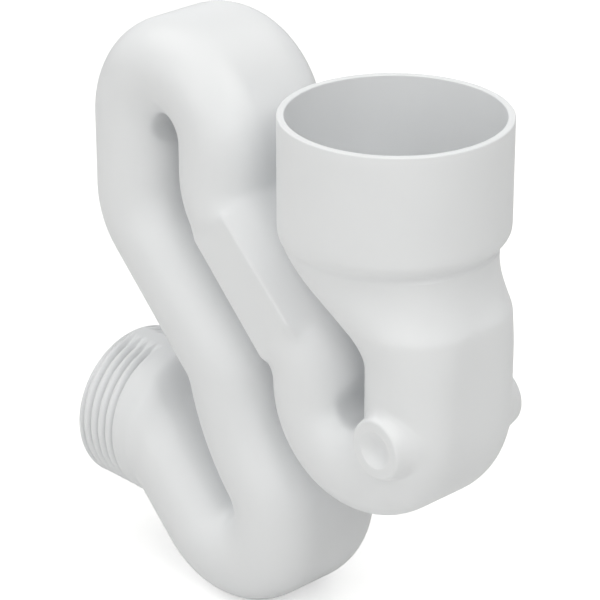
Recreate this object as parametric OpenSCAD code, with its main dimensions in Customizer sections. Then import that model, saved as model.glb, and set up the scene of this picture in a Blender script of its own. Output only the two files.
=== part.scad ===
// Urinal trap, blow moulded in one piece from white plastic.
// A round socket takes the bowl's outlet. Below it a shoulder leads to one flat tube, which runs down,
// turns up, goes over the crown and comes down again behind, then turns up to a threaded outlet.
// The tube's centre line lies in the plane X = 0, where the two halves of the mould meet.
// The origin is the centre of the socket's rim, +Z is up and +Y is towards the wall.

/* [Inlet socket] */
// Outside diameter of the socket
socket_od = 64; // [60:0.5:72]
// Wall thickness of the whole part
wall = 2.1; // [1.5:0.1:3]
// Height of the socket's straight wall
socket_depth = 30.7; // [24:0.1:40]
// Width of the bevel on each edge of the rim
rim_bevel = 0.4; // [0.1:0.1:0.6]

/* [Shoulder below the socket] */
// Height of the round-over under the socket's wall
roundover_h = 5.7; // [4:0.1:8]
// Depth of the waist under the socket, measured inwards from its wall
waist_inset = 4.5; // [2:0.1:6]
// Height from the waist to the tube's full section at the front
front_drop = 19.7; // [14:0.1:26]
// Height from the waist to the tube's full section at the back
back_drop = 29.8; // [24:0.1:36]

/* [Tube] */
// Radius of the tube's round sides
tube_r = 14.7; // [13:0.1:15.5]
// Length of the flat between the tube's round sides
tube_flat = 16; // [8:0.5:24]
// Distance from the socket's axis forwards to the first leg's axis
leg_offset = 17.8; // [15:0.1:21]

/* [Course of the tube] */
// Inner radius of the three full bends
bend_inner_r = 3.4; // [3:0.1:6]
// Inner radius of the slight bends
kink_inner_r = 1.2; // [0.8:0.1:4]
// Slope of the slanting legs
slope = 45; // [40:1:50]
// Depth of the first leg's end below the rim
first_leg_end = 82.6; // [78:0.1:100]
// Length of the slanting leg that rises behind the first bend
rise_len = 41.1; // [36:0.1:50]
// Length of the upright leg before the crown
crown_front_len = 8.5; // [6:0.1:14]
// Length of the upright leg behind the crown
crown_back_len = 22.2; // [18:0.1:30]
// Length of the slanting leg that falls behind the crown
fall_len = 42.9; // [38:0.1:50]
// Lean of the falling tube where it starts to curl under the first bend
curl_lean = 14.5; // [10:0.5:20]
// Radius of the long curl under the first bend, at the centre line
curl_r = 65.1; // [60:0.1:75]
// Angle of the long curl
curl_turn = 26.6; // [22:0.2:30]
// Length of the slanting leg that rises to the outlet
outlet_rise = 29.4; // [26:0.1:36]

/* [Outlet] */
// Diameter over the thread's ridges
thread_od = 47.8; // [46.4:0.1:52]
// Height of the ridges
ridge_h = 0.8; // [0.4:0.1:0.8]
// Radius of the ridges' round crests
ridge_round = 0.85; // [0.85:0.05:1.2]
// Distance from one ridge to the next
thread_pitch = 3.27; // [2.6:0.01:3.4]
// Number of ridges
ridge_count = 5; // [3:1:5]
// Length of the round outlet
outlet_len = 22.1; // [21:0.1:30]
// Distance from the outlet's end to the first ridge
ridge_start = 3.6; // [2.6:0.1:4]
// Width of the plain bead at the outlet's end
bead_w = 1.9; // [0.8:0.1:2]
// Half angle of the plain bands along the parting lines
band_angle = 8; // [6:1:12]

/* [Bosses and flat pads] */
// Radius of each boss's face
boss_r = 8.5; // [7:0.1:9.5]
// Height of a boss above the tube's side
boss_h = 2.2; // [1.5:0.1:3]
// Radius of the dimple in a boss
dimple_r = 5.3; // [4:0.1:6]
// Depth of the first step of the dimple
dimple_step = 0.5; // [0.3:0.1:0.8]
// Depth of the dish in the dimple
dish_depth = 1.6; // [0.8:0.1:2]
// Distance of the bosses below the first leg's end
boss_drop = 2.9; // [0:0.1:5]
// Width of the flat pads on the rising leg
pad_w = 16.5; // [12:0.1:18]
// Length of the flat pads
pad_len = 38.6; // [24:0.1:39]
// Depth of the flat pads below the tube's widest line
pad_inset = 0.6; // [0.3:0.1:1]
// Distance of the pads' middle above the leg's axis
pad_rise = 0.6; // [0:0.1:1.5]

/* [Hidden] */

body_color = "whitesmoke";
round_fn = 96;
half_turn = 180;
right_angle = 90;

// Socket and its bore
socket_r = socket_od / 2;
bore_r = socket_r - wall;

// Tube section
flat_half = tube_flat / 2;
side_x = tube_r + flat_half;
bend_r = tube_r + bend_inner_r;
kink_r = tube_r + kink_inner_r;

// Shoulder: heights of the waist and of the ends of its two rails
waist_z = -(socket_depth + roundover_h);
waist_r = socket_r - waist_inset;
back_rail_start = -(socket_depth + roundover_h * 0.63);
shoulder_end = waist_z - back_drop;
back_rail_power = 1.58;
loft_rings = 20;
loft_points = 60;
// Rings lie closer towards the tube by this power
loft_power = 1.3;

// Straight legs lap over the ends of the bends, which are a hair slimmer
lap = 0.2;
slim = 0.04;

// Course of the tube, as a chain of moves from the shoulder's end to the outlet.
// A move is [length, 0] for a straight leg, or [radius, turn] for a bend, positive to the left
// when seen from the side with +Y to the right. A leg of no length joins two bends.
first_heading = -right_angle;
rise_turn = right_angle - slope;
curl_start_turn = right_angle - slope - curl_lean;
outlet_heading = slope;
rear_turn = slope + right_angle + curl_lean + curl_turn;
first_leg_len = first_leg_end + shoulder_end;
COURSE = [
    [first_leg_len, 0],
    [bend_r, half_turn],
    [0, 0],
    [kink_r, -rise_turn],
    [rise_len, 0],
    [kink_r, rise_turn],
    [crown_front_len, 0],
    [bend_r, -half_turn],
    [crown_back_len, 0],
    [kink_r, -rise_turn],
    [fall_len, 0],
    [kink_r, curl_start_turn],
    [0, 0],
    [curl_r, -curl_turn],
    [0, 0],
    [bend_r, rear_turn],
    [outlet_rise, 0],
];
rise_index = 4;
START = [-leg_offset, shoulder_end, first_heading];

// Position and heading after one move
function after(p, m) =
    m[1] == 0
        ? [p[0] + m[0] * cos(p[2]), p[1] + m[0] * sin(p[2]), p[2]]
        : let (side = sign(m[1]), cx = p[0] - side * m[0] * sin(p[2]), cy = p[1] + side * m[0] * cos(p[2]))
          [cx + side * m[0] * sin(p[2] + m[1]), cy - side * m[0] * cos(p[2] + m[1]), p[2] + m[1]];
// Position and heading at the start of move i
function pose(i) = i == 0 ? START : after(pose(i - 1), COURSE[i - 1]);

// Outlet: the last leg's centre line meets the outlet's axis at the mitre
mitre = pose(len(COURSE));
outlet_end = mitre[0] + outlet_len;
thread_r = thread_od / 2;
root_r = thread_r - ridge_h;
outlet_bore_r = root_r - wall;
// Over its half turn each ridge moves half a pitch along
thread_tilt = atan(thread_pitch / 4 / thread_r);
// The collar, the bead and the bands stand a hair over the crests. The last ridge runs into the collar.
crest_hair = 0.05;
collar_cone = 4;
collar_r = thread_r + crest_hair;
collar_len = outlet_len - ridge_start - (ridge_count - 1) * thread_pitch;
ring_len = outlet_len - bead_w - collar_len;
// The bands fade into the thread's root along two cylinders that are shifted across the parting plane
band_shift = 6.7;
band_cut_r = collar_r + band_shift * sin(band_angle);
// The ridges of both halves end inside the bands, at this distance from the parting plane
parting_gap = 1.5;
bore_lead = 1;
mitre_reach = tube_r / cos(slope);

// Bosses
boss_x = side_x + boss_h;
boss_z = -(first_leg_end + boss_drop);
boss_depth = 9;
boss_draft = 15;
edge_r = 0.5;
dimple_ledge = 0.5;

// Pads: a bar fills the tube out to square corners, and a cut across it makes the flat
pad_half = pad_w / 2;
pad_x = side_x - pad_inset;
pad_ramp = 1;
pad_ramp_drop = 3;
pad_cut_ramp = 1.5;
pad_start = (rise_len - pad_len) / 2;

// Foot of the line that runs from a pad's edge, at distance n from the axis, onto the round side
function tangent_foot(n) =
    let (far = norm([n, pad_x - flat_half]), a = atan2(n, pad_x - flat_half) + sign(n) * acos(tube_r / far))
    [(tube_r - slim) * sin(a), flat_half + (tube_r - slim) * cos(a)];

// A length beyond a surface, for clean cuts
over = 1;

// Smooth step from 0 to 1
function ease(t) = let (u = min(max(t, 0), 1)) u * u * (3 - 2 * u);
// S-shaped step from 0 to 1 with a steeper middle
function steep(t, n) = let (u = min(max(t, 0), 1)) pow(u, n) / (pow(u, n) + pow(1 - u, n));

// Distance of the shoulder's front from the socket's axis, at height z
function front_rail(z) =
    let (t = min(max((-socket_depth - z) / roundover_h, 0), 1))
    socket_r - waist_inset * t * t + (tube_r + leg_offset - waist_r) * ease((waist_z - z) / front_drop);
// The same for its back
function back_rail(z) =
    socket_r - (socket_r - tube_r + leg_offset)
        * steep((back_rail_start - z) / (back_rail_start - shoulder_end), back_rail_power);
// Half of the section's flat stretch
function flat_rail(z) = flat_half * ease((waist_z - z) / back_drop);

// Outline of the shoulder at height z, drawn in by w and lifted by half of w
function ring(z, w) =
    let (q = z - w / 2, f = front_rail(q), b = back_rail(q))
    let (r = (f + b) / 2 - w, y = (b - f) / 2, h = flat_rail(q))
    [for (i = [0 : loft_points - 1])
        let (a = (i + 0.5) * 360 / loft_points)
        [r * cos(a) + h * sign(cos(a)), y + r * sin(a), z]];

// Skin over a stack of rings with the same number of points
module skin(rings) {
    n = len(rings[0]);
    k = len(rings);
    points = [for (r = rings) for (p = r) p];
    sides = [for (j = [0 : k - 2]) for (i = [0 : n - 1])
        let (a = j * n + i, b = j * n + (i + 1) % n)
        each [[a, b, b + n], [a, b + n, a + n]]];
    top = [for (i = [n - 1 : -1 : 0]) i];
    bottom = [for (i = [0 : n - 1]) (k - 1) * n + i];
    polyhedron(points, concat(sides, [top], [bottom]));
}

// Shoulder between the socket and the tube, drawn in by w
module shoulder(w) {
    top = lap - socket_depth;
    skin([for (j = [0 : loft_rings])
        ring(shoulder_end + (top - shoulder_end) * pow(1 - j / loft_rings, loft_power), w + slim)]);
}

// Round-sided flat section: x lies in the plane of the course, y across it
module section(w) {
    r = tube_r - w;
    for (s = [-1, 1])
        translate([0, s * flat_half])
            circle(r, $fn = round_fn);
    square([2 * r, tube_flat], center = true);
}

// Turns a shape drawn in the XY plane into the part's YZ plane
module upright() {
    rotate([right_angle, 0, right_angle]) children();
}

// One move of the course, drawn in by the wall w
module move(p, m, w) {
    if (m[1] == 0)
        translate([p[0], p[1], 0])
            rotate([0, 0, p[2]])
                rotate([right_angle, 0, right_angle])
                    translate([0, 0, -lap])
                        linear_extrude(m[0] + 2 * lap)
                            section(w);
    else {
        side = sign(m[1]);
        trim = lap / 2 / m[0] * half_turn / PI;
        translate([p[0] - side * m[0] * sin(p[2]), p[1] + side * m[0] * cos(p[2]), 0])
            rotate([0, 0, p[2] - side * right_angle + min(m[1], 0) + trim])
                rotate_extrude(angle = abs(m[1]) - 2 * trim, $fn = round_fn)
                    translate([m[0], 0])
                        section(w + slim);
    }
}

// The whole course of the tube, cut off upright at the outlet
module tube(w) {
    last = len(COURSE) - 1;
    upright() {
        for (i = [0 : last - 1])
            move(pose(i), COURSE[i], w);
        intersection() {
            move(pose(last), [outlet_rise + tube_r * 2, 0], w);
            translate([mitre[0] - outlet_rise - tube_r * 2, mitre[1] - socket_od, -socket_od])
                cube([outlet_rise + tube_r * 2, 2 * socket_od, 2 * socket_od]);
        }
    }
}

// Places a shape drawn along +Z so that it runs along the outlet's axis, from the mitre
module at_outlet() {
    translate([0, mitre[0], mitre[1]]) rotate([-right_angle, 0, 0]) children();
}

// Round outlet with a cone that eases it into the slanting leg
module outlet_blank() {
    at_outlet()
        rotate_extrude($fn = round_fn)
            polygon([
                [0, -collar_cone],
                [mitre_reach, -collar_cone],
                [collar_r, 0],
                [collar_r, outlet_len - rim_bevel],
                [collar_r - rim_bevel, outlet_len],
                [0, outlet_len],
            ]);
}

// Ring that is cut away down to the thread's root, apart from a plain band along each parting line
module thread_ring() {
    at_outlet()
        difference() {
            translate([0, 0, collar_len])
                cylinder(ring_len, r = collar_r + over, $fn = round_fn);
            cylinder(outlet_len, r = root_r, $fn = round_fn);
            intersection() {
                translate([-band_shift, 0, 0])
                    cylinder(outlet_len, r = band_cut_r, $fn = round_fn);
                translate([band_shift, 0, 0])
                    cylinder(outlet_len, r = band_cut_r, $fn = round_fn);
            }
        }
}

// Round ridges for one half of the mould, each tilted about its own centre, before they are cut off
module ridges(tilt) {
    for (i = [0 : ridge_count - 1])
        translate([0, 0, outlet_len - ridge_start - i * thread_pitch])
            rotate([tilt, 0, 0])
                rotate_extrude($fn = round_fn)
                    translate([thread_r - ridge_round, 0])
                        circle(ridge_round, $fn = round_fn);
}

// Right-hand thread in two halves, half a pitch apart
module thread() {
    at_outlet()
        for (s = [-1, 1])
            intersection() {
                translate([0, 0, max(s, 0) * thread_pitch / 2])
                    ridges(s * thread_tilt);
                translate([s * (parting_gap + thread_r), 0, outlet_len / 2])
                    cube([2 * thread_r, 3 * thread_r, outlet_len], center = true);
            }
}

// Drafted boss on both sides of the first bend
module bosses() {
    for (s = [0, 1])
        mirror([s, 0, 0])
            translate([boss_x, -leg_offset, boss_z])
                rotate([0, right_angle, 0])
                    rotate_extrude($fn = round_fn)
                        polygon([
                            [0, -boss_depth],
                            [boss_r + boss_depth * tan(boss_draft), -boss_depth],
                            [boss_r + edge_r * tan(boss_draft), -edge_r],
                            [boss_r - edge_r, 0],
                            [0, 0],
                        ]);
}

// Stepped dimple and dish in the face of each boss
module dimples() {
    dish_r = dimple_r - dimple_ledge;
    ball_r = (dish_r * dish_r + dish_depth * dish_depth) / (2 * dish_depth);
    floor_x = boss_x - dimple_step;
    for (s = [0, 1])
        mirror([s, 0, 0])
            translate([floor_x, -leg_offset, boss_z]) {
                rotate([0, right_angle, 0])
                    cylinder(dimple_step + over, r = dimple_r, $fn = round_fn);
                translate([ball_r - dish_depth, 0, 0])
                    sphere(ball_r, $fn = round_fn);
            }
}

// Places a shape at the start of the rising leg: x lies along it, y across it and z along the part's X
module at_rise() {
    p = pose(rise_index);
    upright() translate([p[0], p[1], 0]) rotate([0, 0, p[2]]) children();
}

// Bars that carry the pads' square corners on both sides of the rising leg, with ramped ends
module pads() {
    low = pad_rise - pad_half;
    high = pad_rise + pad_half;
    top = pad_x + pad_inset / 2;
    at_rise()
        for (s = [0, 1])
            mirror([0, 0, s])
                intersection() {
                    translate([pad_start - pad_ramp, 0, 0])
                        rotate([right_angle, 0, right_angle])
                            linear_extrude(pad_len + 2 * pad_ramp)
                                polygon([
                                    tangent_foot(low),
                                    [low, flat_half],
                                    [high, flat_half],
                                    tangent_foot(high),
                                    [high - pad_inset / 6, top],
                                    [low + pad_inset / 6, top],
                                ]);
                    translate([pad_start, tube_r, 0])
                        rotate([right_angle, 0, 0])
                            linear_extrude(2 * tube_r)
                                polygon([
                                    [0, pad_x],
                                    [-pad_ramp, pad_x - pad_ramp_drop],
                                    [-pad_ramp, flat_half],
                                    [pad_len + pad_ramp, flat_half],
                                    [pad_len + pad_ramp, pad_x - pad_ramp_drop],
                                    [pad_len, pad_x],
                                    [pad_len, side_x],
                                    [0, side_x],
                                ]);
                }
}

// Cuts that make the pads flat, with ramps at both ends
module pad_cuts() {
    ramp = pad_cut_ramp * (pad_inset + over) / pad_inset;
    at_rise()
        for (s = [0, 1])
            mirror([0, 0, s])
                translate([pad_start, tube_r + over, 0])
                    rotate([right_angle, 0, 0])
                        linear_extrude(2 * (tube_r + over))
                            polygon([
                                [0, pad_x],
                                [pad_len, pad_x],
                                [pad_len + ramp, side_x + over],
                                [-ramp, side_x + over],
                            ]);
}

// Socket with a bevelled rim, as a solid of revolution
module socket() {
    rotate_extrude($fn = round_fn)
        polygon([
            [0, 0],
            [socket_r - rim_bevel, 0],
            [socket_r, -rim_bevel],
            [socket_r, -socket_depth],
            [0, -socket_depth],
        ]);
}

// Bore of the socket, with the rim's inner bevel
module socket_bore() {
    translate([0, 0, -socket_depth])
        cylinder(socket_depth + over, r = bore_r, $fn = round_fn);
    translate([0, 0, -rim_bevel])
        cylinder(rim_bevel + over, bore_r, bore_r + rim_bevel + over, $fn = round_fn);
}

module trap_body() {
    color(body_color)
        difference() {
            union() {
                socket();
                shoulder(0);
                tube(0);
                difference() {
                    outlet_blank();
                    thread_ring();
                }
                thread();
                bosses();
                pads();
            }
            socket_bore();
            shoulder(wall);
            tube(wall);
            at_outlet()
                translate([0, 0, -bore_lead])
                    cylinder(outlet_len + bore_lead + over, r = outlet_bore_r, $fn = round_fn);
            dimples();
            pad_cuts();
        }
}

trap_body();
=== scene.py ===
"""Looks of the urinal trap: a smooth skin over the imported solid, its plastic, the floor, light and camera.

The skin follows the same sizes as the solid, in millimetres and in the part's own frame. It is one closed mesh:
an outer grid of rings from the socket's rim to the outlet's end, a coarser inner grid along the water way, and
a patch of circles for each side boss.
"""

import math

import bmesh
import bpy
import numpy as np
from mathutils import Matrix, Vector


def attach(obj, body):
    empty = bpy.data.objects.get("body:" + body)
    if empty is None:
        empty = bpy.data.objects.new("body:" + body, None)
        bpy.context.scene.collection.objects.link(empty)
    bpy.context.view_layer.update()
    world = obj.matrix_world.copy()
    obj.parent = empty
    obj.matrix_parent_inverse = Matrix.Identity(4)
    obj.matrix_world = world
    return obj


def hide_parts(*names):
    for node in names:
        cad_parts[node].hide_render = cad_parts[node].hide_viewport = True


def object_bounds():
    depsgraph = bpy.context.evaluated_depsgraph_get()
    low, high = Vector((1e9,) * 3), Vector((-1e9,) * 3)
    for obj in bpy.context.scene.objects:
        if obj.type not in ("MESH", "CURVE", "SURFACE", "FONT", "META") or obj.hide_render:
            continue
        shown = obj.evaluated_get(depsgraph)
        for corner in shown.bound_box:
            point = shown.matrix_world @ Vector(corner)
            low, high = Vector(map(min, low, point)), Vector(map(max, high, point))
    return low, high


# Sizes of the part
SOCKET_R = 32.0
WALL = 2.1
SOCKET_DEPTH = 30.7
RIM_BEVEL = 0.4
ROUNDOVER = 5.7
WAIST_INSET = 4.5
FRONT_DROP = 19.7
BACK_DROP = 29.8
BACK_START = 0.63
BACK_POWER = 1.58
TUBE_R = 14.7
FLAT_HALF = 8.0
LEG_OFFSET = 17.8
BEND_R = TUBE_R + 3.4
KINK_R = TUBE_R + 1.2
SLOPE = 45.0
FIRST_LEG_END = 82.6
CURL_LEAN = 14.5
CURL_R = 65.1
CURL_TURN = 26.6
OUTLET_RISE = 29.4
THREAD_R = 23.9
RIDGE_H = 0.8
PITCH = 3.27
RIDGES = 5
OUTLET_LEN = 22.1
RIDGE_START = 3.6
BEAD = 1.9
BAND_ANGLE = 13.0
BAND_SHIFT = 6.7
BOSS_R = 8.5
BOSS_H = 2.2
DIMPLE_R = 5.3
DIMPLE_STEP = 0.5
DIMPLE_LEDGE = 0.5
DISH_DEPTH = 1.6
BOSS_DROP = 2.9
BOSS_DRAFT = math.radians(15)
PAD_W = 16.5
PAD_LEN = 38.6
PAD_INSET = 0.6
PAD_RISE = 0.6
RISE_LEN = 41.1

# Sizes that follow
BORE_R = SOCKET_R - WALL
WAIST_Z = -(SOCKET_DEPTH + ROUNDOVER)
SHOULDER_END = WAIST_Z - BACK_DROP
BACK_Z = -(SOCKET_DEPTH + ROUNDOVER * BACK_START)
SIDE_X = TUBE_R + FLAT_HALF
CREST_R = THREAD_R + 0.05
ROOT_R = THREAD_R - RIDGE_H
OUTLET_BORE_R = ROOT_R - WALL
COLLAR_LEN = OUTLET_LEN - RIDGE_START - (RIDGES - 1) * PITCH
THREAD_TILT = math.atan(PITCH / 4 / THREAD_R)
BOSS_X = SIDE_X + BOSS_H
BOSS_Y = -LEG_OFFSET
BOSS_Z = -(FIRST_LEG_END + BOSS_DROP)
PAD_X = SIDE_X - PAD_INSET

# Course of the tube: (length, 0) for a leg or (radius, turn) for a bend, positive to the left
COURSE = [
    (FIRST_LEG_END + SHOULDER_END, 0),
    (BEND_R, 180),
    (KINK_R, SLOPE - 90),
    (RISE_LEN, 0),
    (KINK_R, 90 - SLOPE),
    (8.5, 0),
    (BEND_R, -180),
    (22.2, 0),
    (KINK_R, SLOPE - 90),
    (42.9, 0),
    (KINK_R, 90 - SLOPE - CURL_LEAN),
    (CURL_R, -CURL_TURN),
    (BEND_R, SLOPE + 90 + CURL_LEAN + CURL_TURN),
    (OUTLET_RISE, 0),
]
FIRST_BEND, RISE_LEG, OUTLET_LEG = 1, 3, len(COURSE) - 1
# Least radius inside each slight bend, by its place in the course
KINK_SOFT = {2: 4.0, 4: 4.5, 8: 16.0, 10: 8.0}
# Radius of the hollow that the mould's core leaves inside a tight bend, by its place in the course
CORE_R = {1: 5.8, 6: 6.0}
CORE_SOFT = 0.9

# Softness of the moulded edges
RIM_STEPS = 4
WAIST_SOFT = 0.8
FRONT_START = 0.15
FRONT_END = 0.87
FRONT_POWER = 1.5
FRONT_CORNER = 0.12
LEDGE_H = 1.15
LEDGE_TOP = 1.2
LEDGE_DROP = 2.2
LEDGE_FADE = 18.0
LEDGE_ANGLES = (28, 62)
PAD_EDGE_SOFT = 0.45
PAD_FACE_RAMPS = ((-1.0, 5.0), (38.8, 42.8))
PAD_WALL_RAMPS = ((-1.0, 2.8), (39.8, 44.6))
PAD_TAPER = 0.7
BOSS_EDGE_R = 0.35
BOSS_FILLETS = (0.6, 3.6)
DIMPLE_SOFT = 0.9
DISH_R = 4.7
VISIBLE_ROOT_R = 22.3
THREAD_SHIFT = 0.85
GROOVE_ROUND = 0.03

# Density of the grid: intervals of a quarter of the section, in degrees on its round side, then on its flat
QUARTER = ((0, 24, 9), (24, 50, 16), (50, 90, 15))
FLAT_STEPS = 5
OUTLET_QUARTER = ((0, 68, 27), (68, 90, 18))
BEND_STEP = 5.2
INNER_BEND_STEP = 9.0
HOLE_COLUMNS = 30
HOLE_TOP = 13.0
HOLE_ANGLE = 55.0
THREAD_STEP = 0.24

# The photograph's camera, in the part's frame, found from the part's outline. Metres and degrees.
CAMERA_AT = (-0.5294, -0.5173, 0.2835)
CAMERA_DOWN = 24.56
CAMERA_HEADING = 43.84
PICTURE_PX = 600
FOCAL_PX = 2965.66
CENTRE_PX = (307.70, 300.0)
SENSOR_MM = 36.0

METRES = 0.001

# Floor, surroundings, and lamps by name: where each shines from, its distance, size and power
FLOOR_SIZE = 12.0
FLOOR_COLOUR = (0.90, 0.90, 0.90)
FLOOR_LIFT = 0.45
WORLD_LIGHT = 0.115
WORLD_GLOSS = 1.4
WORLD_COLOUR = (0.965, 0.98, 1.0, 1.0)
LAMP_COLOUR = (1.0, 0.995, 0.968)
LAMPS = {
    "top": ((0, 0, 1), 1.8, 1.2, 3.3),
    "left": ((-1, 0, 0.35), 1.8, 1.2, 5.1),
    "camera_side": ((-1, -1, 0.8), 1.8, 1.2, 5.6),
    "upper_left": ((-1, 0, 1.3), 1.8, 1.2, 4.4),
    "upper_front": ((0, -1, 1.3), 1.8, 1.2, 12.0),
    "upper_back": ((-0.4, 1, 1.2), 1.8, 1.2, 8.1),
    "upper_right": ((1, 0, 1.3), 1.8, 1.2, 4.7),
}


def ease(t):
    """Smooth step from 0 to 1."""
    t = np.clip(t, 0, 1)
    return t * t * (3 - 2 * t)


def smooth_min(a, b, size):
    """The smaller of two distances, rounded where they are within the size of each other."""
    near = np.maximum(size - np.abs(a - b), 0) / size
    return np.minimum(a, b) - near * near * size / 4


def spread(parts):
    """Values from the first part's start to the last part's end, each part in equal steps."""
    values = [np.linspace(a, b, steps, endpoint=False) for a, b, steps in parts]
    return np.append(np.concatenate(values), parts[-1][1])


def mirrored(quarter):
    """Columns all the way round from the values of one quarter, as a quadrant number and a value."""
    forward, back = quarter[:-1], quarter[:0:-1]
    values = np.concatenate([forward, back, forward, back])
    quadrant = np.repeat(np.arange(4), len(forward))
    return quadrant, values


def quarter_shares():
    """Shares of a quarter of the section's outline at which the grid's columns lie."""
    arc = np.radians(spread(QUARTER)) * TUBE_R
    flat = arc[-1] + np.linspace(0, FLAT_HALF, FLAT_STEPS + 1)[1:]
    return np.concatenate([arc, flat]) / flat[-1]


QUADRANT, SHARE = mirrored(quarter_shares())
SIGN_X = np.where((QUADRANT == 0) | (QUADRANT == 3), 1, -1)
SIGN_N = np.where(QUADRANT < 2, 1, -1)
COLUMNS = len(SHARE)
OUTLET_TURN = QUADRANT * math.pi / 2 + np.where(
    QUADRANT % 2 == 0,
    mirrored(np.radians(spread(OUTLET_QUARTER)))[1],
    math.pi / 2 - mirrored(np.radians(spread(OUTLET_QUARTER)))[1],
)


def section(r, half, rho=None):
    """Points of a round-sided flat section: x across the mould and n in the plane of the course."""
    along = SHARE * (math.pi * r / 2 + half)
    angle = np.minimum(along / r, math.pi / 2)
    flat = half - np.maximum(along - math.pi * r / 2, 0)
    if rho is not None:
        r = np.where(angle < math.pi / 2, rho(SIGN_N * angle), r)
    return SIGN_X * (flat + r * np.cos(angle)), SIGN_N * r * np.sin(angle)


def after(place, move):
    """Position and heading (y, z, degrees) at the end of one move."""
    y, z, heading = place
    size, turn = move
    a = math.radians(heading)
    if turn == 0:
        return y + size * math.cos(a), z + size * math.sin(a), heading
    side = math.copysign(1, turn)
    b = math.radians(heading + turn)
    cy, cz = y - side * size * math.sin(a), z + side * size * math.cos(a)
    return cy + side * size * math.sin(b), cz - side * size * math.cos(b), heading + turn


def partway(index, share):
    """Position and heading (y, z, degrees) at a share of one move, which can be an array of shares."""
    y, z, heading = STARTS[index]
    size, turn = COURSE[index]
    a = np.radians(heading)
    if turn == 0:
        return y + share * size * np.cos(a), z + share * size * np.sin(a), heading + 0 * share
    side = math.copysign(1, turn)
    b = np.radians(heading + share * turn)
    across, down = np.sin(b) - np.sin(a), np.cos(b) - np.cos(a)
    return y + side * size * across, z - side * size * down, heading + share * turn


STARTS = [(-LEG_OFFSET, SHOULDER_END, -90.0)]
for step in COURSE:
    STARTS.append(after(STARTS[-1], step))
MITRE = STARTS[-1]


def place_ring(place, x, n):
    """Points of a section that stands across the course at a place."""
    y, z, heading = place
    a = np.radians(heading)
    return np.stack([x, y - n * np.sin(a), z + n * np.cos(a)], 1)


def move_length(index, n):
    """Length of one move for points at the distances n from the centre line."""
    size, turn = COURSE[index]
    return size + 0 * n if turn == 0 else (size - math.copysign(1, turn) * n) * math.radians(abs(turn))


def move_limits(n, inset):
    """First and last share of each move for every column, where the slight bends start early inside."""
    first, last = np.zeros((len(COURSE), len(n))), np.ones((len(COURSE), len(n)))
    for index, least in KINK_SOFT.items():
        turn = COURSE[index][1]
        bare = KINK_R - math.copysign(1, turn) * n
        soft = -smooth_min(-bare, -(least + inset), 3.0)
        early = (soft - bare) * math.tan(math.radians(abs(turn)) / 2)
        last[index - 1] = 1 - early / move_length(index - 1, n)
        first[index + 1] = early / move_length(index + 1, n)
    return first, last


def kink_ring(index, t, x, n, limits):
    """Ring at the share t of a slight bend, along a smooth curve between the moves on both sides of it."""
    first, last = limits
    before = partway(index - 1, last[index - 1])
    beyond = partway(index + 1, first[index + 1])
    a, b = place_ring(before, x, n), place_ring(beyond, x, n)
    turn = np.radians(np.abs(beyond[2] - before[2]))
    reach = 4 / 3 * np.tan(turn / 4) * np.hypot(*(b - a)[:, 1:].T) / (2 * np.sin(turn / 2))
    for place, point, way in ((before, a, 1), (beyond, b, -1)):
        heading = np.radians(place[2])
        step = np.stack([0 * x, np.cos(heading) * reach, np.sin(heading) * reach], 1) * way
        if way == 1:
            c = point + step
        else:
            d = point + step
    return a * (1 - t) ** 3 + 3 * c * t * (1 - t) ** 2 + 3 * d * t * t * (1 - t) + b * t**3


def tube_ring(index, t, x, n, limits):
    """Ring at the share t of any move."""
    if index in KINK_SOFT:
        return kink_ring(index, t, x, n, limits)
    share = limits[0][index] + (limits[1][index] - limits[0][index]) * t
    return place_ring(partway(index, share), x, n)


def core_hollows(points, inset):
    """Points pushed out of the hollows that the mould's core leaves inside the tight bends."""
    for index, core_r in CORE_R.items():
        y, z, heading = STARTS[index]
        size, turn = COURSE[index]
        side = math.copysign(1, turn)
        a = math.radians(heading)
        centre = np.array([y - side * size * math.sin(a), z + side * size * math.cos(a)])
        away = points[:, 1:] - centre
        far = np.maximum(np.hypot(*away.T), 0.1)
        wanted = -smooth_min(-far, -(core_r + inset), CORE_SOFT)
        points[:, 1:] = centre + away * (wanted / far)[:, None]


def flat_ring(x, y, z):
    """Points of a level ring."""
    return np.stack([x, y, np.full(len(x), float(z))], 1)


def front_rail(z):
    t = np.clip((-SOCKET_DEPTH - z) / ROUNDOVER, 0, 1)
    u = np.maximum((WAIST_Z - z) / FRONT_DROP - FRONT_START, 0) / (FRONT_END - FRONT_START)
    out = TUBE_R + LEG_OFFSET - SOCKET_R + WAIST_INSET
    return SOCKET_R - WAIST_INSET * t * t + out * smooth_min(u**FRONT_POWER, 1.0, FRONT_CORNER)


def back_rail(z):
    t = np.clip((BACK_Z - z) / (BACK_Z - SHOULDER_END), 0, 1)
    steep = t**BACK_POWER / (t**BACK_POWER + (1 - t) ** BACK_POWER)
    return SOCKET_R - (SOCKET_R - TUBE_R + LEG_OFFSET) * steep


def shoulder_ring(z, inset):
    """Level ring of the shoulder, with the edges of its rails softened."""
    level = z - inset / 2
    around = level + np.linspace(-WAIST_SOFT, WAIST_SOFT, 5)
    front, back = front_rail(around).mean(), back_rail(around).mean()
    half = FLAT_HALF * float(ease((WAIST_Z - level) / BACK_DROP))
    x, n = section((front + back) / 2 - inset, half)
    if inset == 0:
        off_front = np.degrees(np.abs(np.arctan2(x, -n)))
        near, far = LEDGE_ANGLES
        share = ease((far - off_front) / (far - near))
        below = WAIST_Z + LEDGE_TOP - z
        ledge = LEDGE_H * np.clip(below / LEDGE_DROP, 0, 1) * ease((LEDGE_FADE - below) / (LEDGE_FADE - LEDGE_DROP))
        grown = 1 + ledge * share / np.hypot(x, n)
        x, n = x * grown, n * grown
    return flat_ring(x, n + (back - front) / 2, z)


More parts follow.
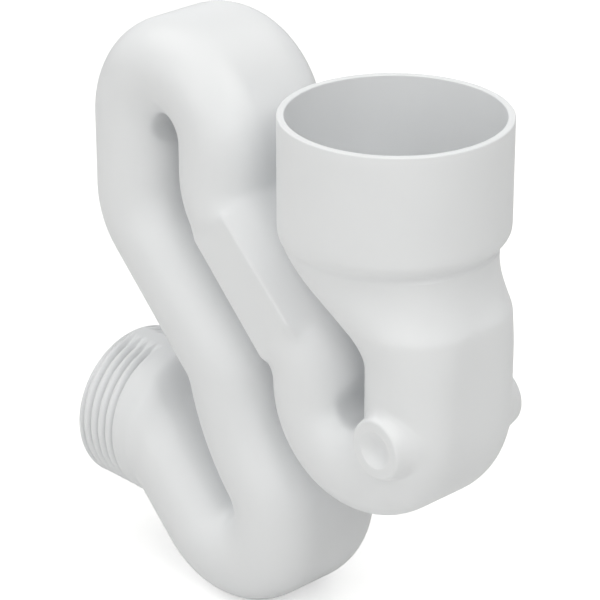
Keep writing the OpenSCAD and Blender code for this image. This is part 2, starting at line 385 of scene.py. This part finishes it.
def rim_corner(r, inwards):
    """Radii and depths of a rounded corner of the socket's rim, from the top face to the wall."""
    turns = np.linspace(0, math.pi / 2, RIM_STEPS + 1)
    return [(r + inwards * RIM_BEVEL * (1 - math.sin(t)), -RIM_BEVEL * (1 - math.cos(t))) for t in turns]


def pad_rho(angle, along):
    """Distance of the section's outline from its side's centre where the pad is at its full form."""
    face = PAD_X - FLAT_HALF
    rho = np.full(len(angle), TUBE_R)
    for side in (-1, 1):
        edge = PAD_RISE * side + PAD_W / 2 + (PAD_TAPER * (1 - 2 * along / RISE_LEN) if side > 0 else 0)
        foot = np.arctan2(edge, face) + np.arccos(TUBE_R / np.hypot(edge, face))
        here = (angle * side >= 0) & (angle * side < foot)
        wall = TUBE_R / np.cos(foot - angle * side)
        rho = np.where(here, smooth_min(face / np.cos(np.minimum(angle * side, 1.4)), wall, PAD_EDGE_SOFT), rho)
    return rho


def ramp(along, ramps):
    """Weight of a form that comes in over the first ramp and goes out over the second."""
    (a, b), (c, d) = ramps
    return float(ease((along - a) / (b - a)) * ease((d - along) / (d - c)))


def pad_section(along):
    """Section of the rising leg, or of the slight bend after it, with its pads."""

    def rho(angle):
        extra = pad_rho(angle, along) - TUBE_R
        weight = np.where((extra > 0) & (angle < 0), ramp(along, PAD_WALL_RAMPS), ramp(along, PAD_FACE_RAMPS))
        return TUBE_R + extra * weight

    return section(TUBE_R, FLAT_HALF, rho)


def leg_shares(index):
    """Shares of each move at which the outer grid has rings, without its start."""
    size, turn = COURSE[index]
    if index == 0:
        hole = (size - (HOLE_TOP - BOSS_DROP)) / size
        return spread([(0, hole, 3), (hole, 1, 12)])[1:]
    if index == FIRST_BEND:
        return spread([(0, HOLE_ANGLE / turn, 18), (HOLE_ANGLE / turn, 1, 25)])[1:]
    if index == RISE_LEG:
        return spread([(0, 6 / size, 10), (6 / size, 1 - 4 / size, 6), (1 - 4 / size, 1, 9)])[1:]
    if index in KINK_SOFT:
        return np.linspace(0, 1, 10)[1:]
    if turn and size < 50:
        return np.linspace(0, 1, math.ceil(abs(turn) / BEND_STEP) + 1)[1:]
    length = size * math.radians(turn or 180 / math.pi)
    dense = min(CORE_R[6] / abs(length), 0.5)
    if index == 5:
        return np.linspace(0, 1, 7)[1:]
    if index == 7:
        return spread([(0, dense, 8), (dense, 1, 5)])[1:]
    return spread([(0, 1 - dense, 7), (1 - dense, 1, 6)])[1:]


def thread_radius(along, turn):
    """Radius of the outlet at a distance from the mitre, for angles from +X up."""
    half = np.sign(np.cos(turn))
    up = np.sin(turn) * THREAD_R
    first = OUTLET_LEN - RIDGE_START + THREAD_SHIFT + np.where(half > 0, PITCH / 2, 0)
    beyond = along - first + half * up * math.sin(THREAD_TILT)
    low, high = math.sqrt(GROOVE_ROUND), math.sqrt(1 + GROOVE_ROUND)
    ridge = ((np.sqrt(np.cos(math.pi * beyond / PITCH) ** 2 + GROOVE_ROUND) - low) / (high - low)) ** 0.8
    ridge = np.where(beyond > PITCH / 2, 0, ridge)
    ridge = np.where(beyond < -(RIDGES - 1) * PITCH, 1, ridge)
    plain = np.maximum(ease((COLLAR_LEN + 0.2 - along) / 0.6), ease((along - OUTLET_LEN + BEAD) / 1.5))
    crest = THREAD_R + (CREST_R - THREAD_R) * plain
    cut_r = CREST_R + BAND_SHIFT * math.sin(math.radians(BAND_ANGLE))
    lens = np.sqrt(cut_r**2 - (BAND_SHIFT * np.sin(turn)) ** 2) - BAND_SHIFT * np.abs(np.cos(turn))
    bare = VISIBLE_ROOT_R + (crest - VISIBLE_ROOT_R) * np.maximum(ridge, plain)
    return np.minimum(-smooth_min(-bare, -lens, 0.5), CREST_R)


def outlet_ring(along, radius, turn):
    """Upright ring round the outlet's axis."""
    radius = np.broadcast_to(radius, turn.shape)
    y = np.full(len(turn), MITRE[0] + along)
    return np.stack([radius * np.cos(turn), y, MITRE[1] + radius * np.sin(turn)], 1)


def outlet_leg(r, ring_r, start, reach, rings):
    """Rings of the last leg: square to it at first, then sheared upright, then eased out to a round one.

    start and reach are the distances from the mitre at which the easing begins, lowest and highest, and ends."""
    x, n = section(r, FLAT_HALF)
    square_end = OUTLET_RISE - 20.0
    made = [place_ring(partway(OUTLET_LEG, t * square_end / OUTLET_RISE), x, n) for t in np.arange(1, 7) / 6]
    lowest, highest = start
    begin = lowest + (highest - lowest) * (1 + n / r) / 2
    ends = OUTLET_RISE + n + math.sqrt(2) * begin
    slant = math.radians(SLOPE)
    for t in np.linspace(0, 1, 7)[1:]:
        along = square_end + (ends - square_end) * t - OUTLET_RISE
        y = along * math.cos(slant) - n * math.sin(slant)
        z = along * math.sin(slant) + n * math.cos(slant)
        made.append(np.stack([x, MITRE[0] + y, MITRE[1] + z], 1))
    turn = np.arctan2(math.sqrt(2) * n, x)
    for t in np.linspace(0, 1, rings + 1)[1:]:
        w = float(ease(t))
        y = begin + (reach - begin) * t
        across = (1 - w) * x + w * ring_r * np.cos(turn)
        z = (1 - w) * (math.sqrt(2) * n + y) + w * ring_r * np.sin(turn)
        made.append(np.stack([across, MITRE[0] + y, MITRE[1] + z], 1))
    return made, np.unwrap(turn)


def outer_rings():
    """Rings of the outer grid, and the first and last ring of the gap that the bosses' patches fill."""
    x, n = section(1.0, 0.0)
    rings = [flat_ring(x * (SOCKET_R - WALL / 2), n * (SOCKET_R - WALL / 2), 0)]
    rings += [flat_ring(x * r, n * r, z) for r, z in rim_corner(SOCKET_R, -1)]
    rings += [flat_ring(x * SOCKET_R, n * SOCKET_R, z) for z in (-4, -12, -20, -27)]
    levels = spread([
        (-SOCKET_DEPTH + 1, WAIST_Z + 1.4, 9),
        (WAIST_Z + 1.4, WAIST_Z - 1.4, 14),
        (WAIST_Z - 1.4, SHOULDER_END, 28),
    ])
    rings += [shoulder_ring(z, 0) for z in levels]
    gap = []
    plain = section(TUBE_R, FLAT_HALF)
    limits = move_limits(plain[1], 0)
    for index in range(OUTLET_LEG):
        size, turn = COURSE[index]
        for share in leg_shares(index):
            if index == RISE_LEG:
                shape = pad_section(share * RISE_LEN)
            elif index == RISE_LEG + 1:
                shape = pad_section(RISE_LEN + share * size * math.radians(turn))
            else:
                shape = plain
            rings.append(tube_ring(index, share, *shape, limits))
            if index == 0 and abs(share * size - (size - HOLE_TOP + BOSS_DROP)) < 0.01:
                gap.append(len(rings) - 1)
            if index == FIRST_BEND and abs(share * turn - HOLE_ANGLE) < 0.01:
                gap.append(len(rings) - 1)
    made, turn = outlet_leg(TUBE_R, CREST_R, (0.3, -8.0), 1.5, 10)
    rings += made
    turn = turn - turn[0] + OUTLET_TURN[0]
    for t in (0.25, 0.5, 0.75, 1.0):
        rings.append(outlet_ring(1.5 + 2.8 * t, CREST_R, turn + (OUTLET_TURN - turn) * t))
    for along in np.arange(4.3 + THREAD_STEP, OUTLET_LEN - RIM_BEVEL, THREAD_STEP):
        rings.append(outlet_ring(along, thread_radius(along, OUTLET_TURN), OUTLET_TURN))
    rings += [outlet_ring(OUTLET_LEN + z, r, OUTLET_TURN) for r, z in rim_corner(CREST_R, -1)[::-1]]
    rings.append(outlet_ring(OUTLET_LEN, (ROOT_R + OUTLET_BORE_R) / 2, OUTLET_TURN))
    return rings, gap


def inner_rings():
    """Rings of the water way, from the socket's rim to the outlet's end, with every second column."""
    x, n = section(1.0, 0.0)
    rings = [flat_ring(x * r, n * r, z) for r, z in rim_corner(BORE_R, 1)]
    rings += [flat_ring(x * BORE_R, n * BORE_R, z) for z in (-10, -20, -29)]
    rings += [shoulder_ring(z, WALL) for z in np.linspace(-SOCKET_DEPTH - 1, SHOULDER_END, 22)]
    plain = section(TUBE_R - WALL, FLAT_HALF)
    limits = move_limits(plain[1], WALL)
    for index in range(OUTLET_LEG):
        turn = COURSE[index][1]
        steps = math.ceil(abs(turn) / INNER_BEND_STEP) if turn else 4
        rings += [tube_ring(index, share, *plain, limits) for share in np.linspace(0, 1, steps + 1)[1:]]
    made, turn = outlet_leg(TUBE_R - WALL, OUTLET_BORE_R, (-3.0, -3.0), 2.5, 6)
    rings += made
    turn = turn - turn[0] + OUTLET_TURN[0]
    rings += [outlet_ring(2.5 + 12 * t, OUTLET_BORE_R, turn + (OUTLET_TURN - turn) * t) for t in (0.5, 1.0)]
    rings += [outlet_ring(OUTLET_LEN + z, r, OUTLET_TURN) for r, z in rim_corner(OUTLET_BORE_R, 1)[::-1]]
    return [ring[::2] for ring in rings]


def course_distance(y, z):
    """Distance from the centre line near the bosses, where the first leg runs into the first bend."""
    leg = np.abs(y + LEG_OFFSET)
    bend = np.abs(np.hypot(y + LEG_OFFSET - BEND_R, z + FIRST_LEG_END) - BEND_R)
    return np.where(z > -FIRST_LEG_END, leg, bend)


def boss_height(y, z):
    """Distance of the surface from the plane X = 0 on and round a boss."""
    q = np.hypot(y - BOSS_Y, z - BOSS_Z)
    d = course_distance(y, z)
    bare = FLAT_HALF + np.sqrt(np.maximum(TUBE_R**2 - d**2, 0))
    upwards = (z - BOSS_Z - 0.7 * (y - BOSS_Y)) / np.maximum(q, 0.1)
    fillet = BOSS_FILLETS[0] + (BOSS_FILLETS[1] - BOSS_FILLETS[0]) * ease(upwards)
    low, high = bare - 0.5, np.full(len(q), BOSS_X + 0.5)
    for _ in range(40):
        x = (low + high) / 2
        tube = np.hypot(d, np.maximum(x - FLAT_HALF, 0)) - TUBE_R
        face = x - BOSS_X
        wall = (q - BOSS_R + face * math.tan(BOSS_DRAFT)) * math.cos(BOSS_DRAFT)
        boss = -smooth_min(-face, -wall, 2 * BOSS_EDGE_R)
        outside = smooth_min(tube, boss, fillet) > 0
        high = np.where(outside, x, high)
        low = np.where(outside, low, x)
    height = bare + (x - bare) * (1 - ease((q - 11.2) / 1.6))
    dish = smooth_min(1 - (q / DISH_R) ** 2, 0.0, 0.08)
    dish = (1 - (q / DISH_R) ** 2) - dish
    return height - DIMPLE_STEP * 0.8 * ease((DIMPLE_R + 0.2 - q) / DIMPLE_SOFT) - DISH_DEPTH * dish


def boss_rings():
    """Radii of the circles of a boss's patch, from its skirt to its middle."""
    return np.concatenate([
        [12.3, 11.7, 11.2, 10.8, 10.5],
        np.arange(10.3, 8.95, -0.2),
        np.arange(8.9, 7.6, -0.12),
        [7.2, 6.5, 5.9],
        np.arange(5.55, 4.55, -0.14),
        [4.4, 4.1, 3.6, 3.0, 2.4, 1.8, 1.2, 0.6],
    ])


def boss_patch(points, loop, sign, first):
    """Vertices and faces that fill the gap inside a loop of the outer grid. first is the next free vertex."""
    edge = points[loop]
    y, z = edge[:, 1], edge[:, 2]
    turn = np.arctan2(z - BOSS_Z, y - BOSS_Y)
    radii = boss_rings()
    made, faces, before = [], [], list(loop)

    def add_ring(ys, zs):
        nonlocal before, first
        made.append(np.stack([sign * boss_height(ys, zs), ys, zs], 1))
        now = list(range(first, first + len(ys)))
        first += len(ys)
        count = len(ys)
        faces.extend((before[k], before[(k + 1) % count], now[(k + 1) % count], now[k]) for k in range(count))
        before = now

    round_y = BOSS_Y + radii[0] * np.cos(turn)
    round_z = BOSS_Z + radii[0] * np.sin(turn)
    for t in (0.35, 0.7):
        add_ring(y + (round_y - y) * t, z + (round_z - z) * t)
    for r in radii:
        add_ring(BOSS_Y + r * np.cos(turn), BOSS_Z + r * np.sin(turn))
    middle = boss_height(np.array([BOSS_Y]), np.array([BOSS_Z]))[0]
    made.append(np.array([[sign * middle, BOSS_Y, BOSS_Z]]))
    faces.extend((before[k], before[(k + 1) % len(before)], first) for k in range(len(before)))
    return made, faces, first + 1


def grid_faces(rings, columns, first, gap=None):
    """Quads between the rings of a grid, left out where the bosses' patches go."""
    faces = []
    for i in range(rings - 1):
        for j in range(columns):
            if gap and gap[0] <= i < gap[1]:
                from_side = min((j - c) % columns for c in (-HOLE_COLUMNS % columns, columns // 2 - HOLE_COLUMNS))
                if from_side < 2 * HOLE_COLUMNS:
                    continue
            a, b = first + i * columns + j, first + i * columns + (j + 1) % columns
            faces.append((a, b, b + columns, a + columns))
    return faces


def stitch(outer, inner):
    """Triangles between a ring and one with half as many points."""
    faces = []
    count = len(inner)
    for k in range(count):
        a, b, c = outer[2 * k], outer[2 * k + 1], outer[(2 * k + 2) % len(outer)]
        d, e = inner[k], inner[(k + 1) % count]
        faces += [(a, b, d), (b, e, d), (b, c, e)]
    return faces


def gap_loop(gap, middle):
    """Vertices of the outer grid round the gap whose middle column is given."""
    top, bottom = gap
    left, right = middle - HOLE_COLUMNS, middle + HOLE_COLUMNS
    loop = [(top, j) for j in range(left, right)]
    loop += [(i, right) for i in range(top, bottom)]
    loop += [(bottom, j) for j in range(right, left, -1)]
    loop += [(i, left) for i in range(bottom, top, -1)]
    return [i * COLUMNS + j % COLUMNS for i, j in loop]


def make_skin():
    """The whole trap as one closed mesh."""
    outer, gap = outer_rings()
    inner = inner_rings()
    points = np.concatenate(outer + inner)
    inner_first = len(outer) * COLUMNS
    core_hollows(points[:inner_first], 0)
    core_hollows(points[inner_first:], WALL)
    half = COLUMNS // 2
    faces = grid_faces(len(outer), COLUMNS, 0, gap)
    faces += grid_faces(len(inner), half, inner_first)
    last_outer = list(range((len(outer) - 1) * COLUMNS, len(outer) * COLUMNS))
    last_inner = list(range(len(points) - half, len(points)))
    faces += stitch(list(range(COLUMNS)), list(range(inner_first, inner_first + half)))
    faces += stitch(last_outer, last_inner)
    parts, free = [points], len(points)
    for middle, sign in ((0, 1), (half, -1)):
        made, patch, free = boss_patch(points, gap_loop(gap, middle), sign, free)
        parts += made
        faces += patch
    mesh = bpy.data.meshes.new("trap_skin")
    mesh.from_pydata((np.concatenate(parts) * METRES).tolist(), [], faces)
    shape = bmesh.new()
    shape.from_mesh(mesh)
    bmesh.ops.delete(shape, geom=[v for v in shape.verts if not v.link_faces], context="VERTS")
    bmesh.ops.recalc_face_normals(shape, faces=shape.faces)
    shape.to_mesh(mesh)
    shape.free()
    mesh.shade_smooth()
    skin = bpy.data.objects.new("trap_skin", mesh)
    bpy.context.scene.collection.objects.link(skin)
    return skin


def node_maker(tree):
    """Returns a function that adds a node, sets its inputs and returns it."""

    def add(kind, inputs=None, **settings):
        made = tree.nodes.new(kind)
        for name, value in settings.items():
            setattr(made, name, value)
        for name, value in (inputs or {}).items():
            if isinstance(value, bpy.types.NodeSocket):
                tree.links.new(value, made.inputs[name])
            else:
                made.inputs[name].default_value = value
        return made

    return add


def empty_material(name):
    material = bpy.data.materials.new(name)
    material.use_nodes = True
    material.node_tree.nodes.clear()
    return material, node_maker(material.node_tree)


def plastic():
    """Satin white plastic with the faint unevenness of a blown surface, and painted shade that darkens its base
    colour in narrow creases and grooves.
    """
    material, add = empty_material("white_plastic")
    place = add("ShaderNodeTexCoord").outputs["Object"]
    cloud = add("ShaderNodeTexNoise", {"Vector": place, "Scale": 30.0, "Detail": 3.0})
    ripple = add("ShaderNodeTexNoise", {"Vector": place, "Scale": 130.0, "Detail": 2.0})
    grain = add("ShaderNodeTexNoise", {"Vector": place, "Scale": 2200.0, "Detail": 2.0})
    tone = add("ShaderNodeValToRGB", {"Fac": cloud.outputs["Fac"]})
    tone.color_ramp.elements[0].position = 0.3
    tone.color_ramp.elements[0].color = (0.778, 0.790, 0.804, 1.0)
    tone.color_ramp.elements[1].position = 0.7
    tone.color_ramp.elements[1].color = (0.799, 0.809, 0.822, 1.0)
    # Painted shade: short-range ambient occlusion within 1.8 mm darkens the base colour to as low as 0.72 of its
    # tone in creases, grooves and the thread's roots.
    painted_crevice_shade = add("ShaderNodeAmbientOcclusion", {"Distance": 0.0018}, samples=8, only_local=True)
    painted_shade_factor = add("ShaderNodeMapRange", {"Value": painted_crevice_shade.outputs["AO"], "From Min": 0.3, "From Max": 0.8,
                                       "To Min": 0.72, "To Max": 1.0})
    # Base colour with the painted shade multiplied in.
    painted_shade_tone = add("ShaderNodeVectorMath", {0: tone.outputs["Color"], "Scale": painted_shade_factor.outputs["Result"]},
               operation="SCALE")
    rough = add("ShaderNodeMapRange", {"Value": grain.outputs["Fac"], "To Min": 0.33, "To Max": 0.43})
    waves = add("ShaderNodeBump", {"Height": ripple.outputs["Fac"], "Strength": 0.10, "Distance": 0.0002})
    fine = add(
        "ShaderNodeBump",
        {
            "Height": grain.outputs["Fac"],
            "Strength": 0.06,
            "Distance": 0.00005,
            "Normal": waves.outputs["Normal"],
        },
    )
    surface = add(
        "ShaderNodeBsdfPrincipled",
        {
            "Base Color": painted_shade_tone.outputs["Vector"],
            "Roughness": rough.outputs["Result"],
            "Normal": fine.outputs["Normal"],
            "IOR": 1.5,
        },
    )
    add("ShaderNodeOutputMaterial", {"Surface": surface.outputs["BSDF"]})
    return material


def floor_material():
    """Plain pale floor that the camera sees as white, with the object's shadow kept."""
    material, add = empty_material("floor_white")
    seen = add("ShaderNodeLightPath").outputs["Is Camera Ray"]
    lift = add("ShaderNodeMath", {0: seen, 1: FLOOR_LIFT}, operation="MULTIPLY")
    matt = add("ShaderNodeBsdfDiffuse", {"Color": (*FLOOR_COLOUR, 1.0)})
    glow = add("ShaderNodeEmission", {"Color": (1.0, 1.0, 1.0, 1.0), "Strength": lift.outputs[0]})
    both = add("ShaderNodeAddShader", {0: matt.outputs[0], 1: glow.outputs[0]})
    add("ShaderNodeOutputMaterial", {"Surface": both.outputs[0]})
    return material


def make_floor(height):
    bpy.ops.mesh.primitive_plane_add(size=FLOOR_SIZE, location=(0, 0, height))
    floor = bpy.context.active_object
    floor.name = "floor"
    floor.data.materials.append(floor_material())


def area_light(name, way, distance, size, watts, target):
    """Soft square lamp that looks at a point from a given side."""
    data = bpy.data.lights.new(name, "AREA")
    data.size = size
    data.energy = watts
    data.color = LAMP_COLOUR
    lamp = bpy.data.objects.new(name, data)
    way = Vector(way).normalized()
    lamp.location = target + way * distance
    lamp.rotation_mode = "QUATERNION"
    lamp.rotation_quaternion = (-way).to_track_quat("-Z", "Y")
    bpy.context.scene.collection.objects.link(lamp)


def make_world():
    """Even white surroundings: plain light for the object, and white for the camera."""
    world = bpy.data.worlds.new("studio")
    world.use_nodes = True
    tree = world.node_tree
    tree.nodes.clear()
    add = node_maker(tree)
    path = add("ShaderNodeLightPath")
    power = add("ShaderNodeMapRange",
                {"Value": path.outputs["Is Glossy Ray"], "To Min": WORLD_LIGHT, "To Max": WORLD_GLOSS})
    light = add("ShaderNodeBackground", {"Color": WORLD_COLOUR, "Strength": power.outputs["Result"]})
    white = add("ShaderNodeBackground", {"Color": (1.0, 1.0, 1.0, 1.0), "Strength": 1.0})
    both = add("ShaderNodeMixShader", {0: path.outputs["Is Camera Ray"], 1: light.outputs[0], 2: white.outputs[0]})
    add("ShaderNodeOutputWorld", {"Surface": both.outputs[0]})
    bpy.context.scene.world = world


def make_camera():
    data = bpy.data.cameras.new("camera")
    data.sensor_width = SENSOR_MM
    data.lens = FOCAL_PX / PICTURE_PX * SENSOR_MM
    data.shift_x = (PICTURE_PX / 2 - CENTRE_PX[0]) / PICTURE_PX
    data.shift_y = (CENTRE_PX[1] - PICTURE_PX / 2) / PICTURE_PX
    data.clip_start = 0.01
    data.clip_end = 50.0
    camera = bpy.data.objects.new("camera", data)
    camera.location = CAMERA_AT
    camera.rotation_euler = (math.radians(90 - CAMERA_DOWN), 0, -math.radians(CAMERA_HEADING))
    bpy.context.scene.collection.objects.link(camera)
    bpy.context.scene.camera = camera


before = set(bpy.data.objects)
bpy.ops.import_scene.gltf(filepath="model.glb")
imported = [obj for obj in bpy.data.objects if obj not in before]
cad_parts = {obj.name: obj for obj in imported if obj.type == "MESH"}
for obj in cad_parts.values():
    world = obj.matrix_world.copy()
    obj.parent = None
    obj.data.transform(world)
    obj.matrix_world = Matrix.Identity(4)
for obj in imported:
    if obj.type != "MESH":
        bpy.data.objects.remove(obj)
cad_low, cad_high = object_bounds()

skin = make_skin()
skin.data.materials.append(plastic())
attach(skin, "root")
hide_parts("trap_body")

make_floor(cad_low.z)
make_world()
make_camera()
centre = (cad_low + cad_high) / 2
for name, (way, distance, size, watts) in LAMPS.items():
    area_light(name, way, distance, size, watts, centre)
bpy.context.scene.view_settings.view_transform = "Standard"
